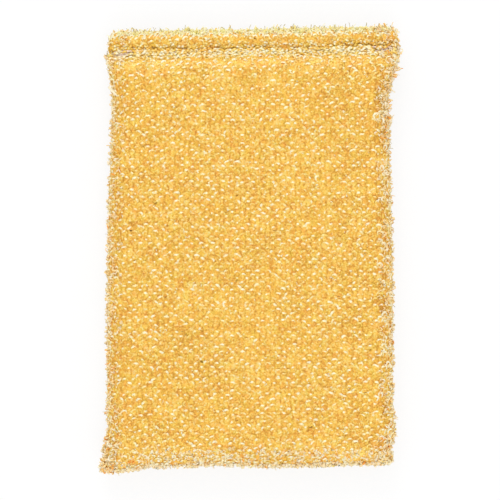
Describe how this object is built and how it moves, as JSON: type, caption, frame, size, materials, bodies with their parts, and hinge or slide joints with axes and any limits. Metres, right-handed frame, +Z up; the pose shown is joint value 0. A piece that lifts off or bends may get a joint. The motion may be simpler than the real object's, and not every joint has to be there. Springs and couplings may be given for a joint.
{
  "type": "cleaning sponge",
  "caption": "Flat rectangular cleaning sponge: a foam pad in a knitted tube of gold metallised film, closed at one end by a rolled, sewn hem.",
  "frame": {"origin": "under the middle of the pad's outline, on the flat face that it rests on", "axes": "+X across the pad, +Y along it towards the rolled hem, +Z up through the front face"},
  "size_m": [0.096, 0.142, 0.012],
  "materials": {
    "film_knit": "knitted from narrow gold metallised film, glittering",
    "foam": "open-cell polyurethane foam, matte",
    "sewing_thread": "pale polyester thread, soft sheen"
  },
  "bodies": {
    "root": {"knit_jacket": "film_knit", "foam_core": "foam", "closing_seam": "sewing_thread", "turned_seam": "sewing_thread"}
  },
  "joints": []
}
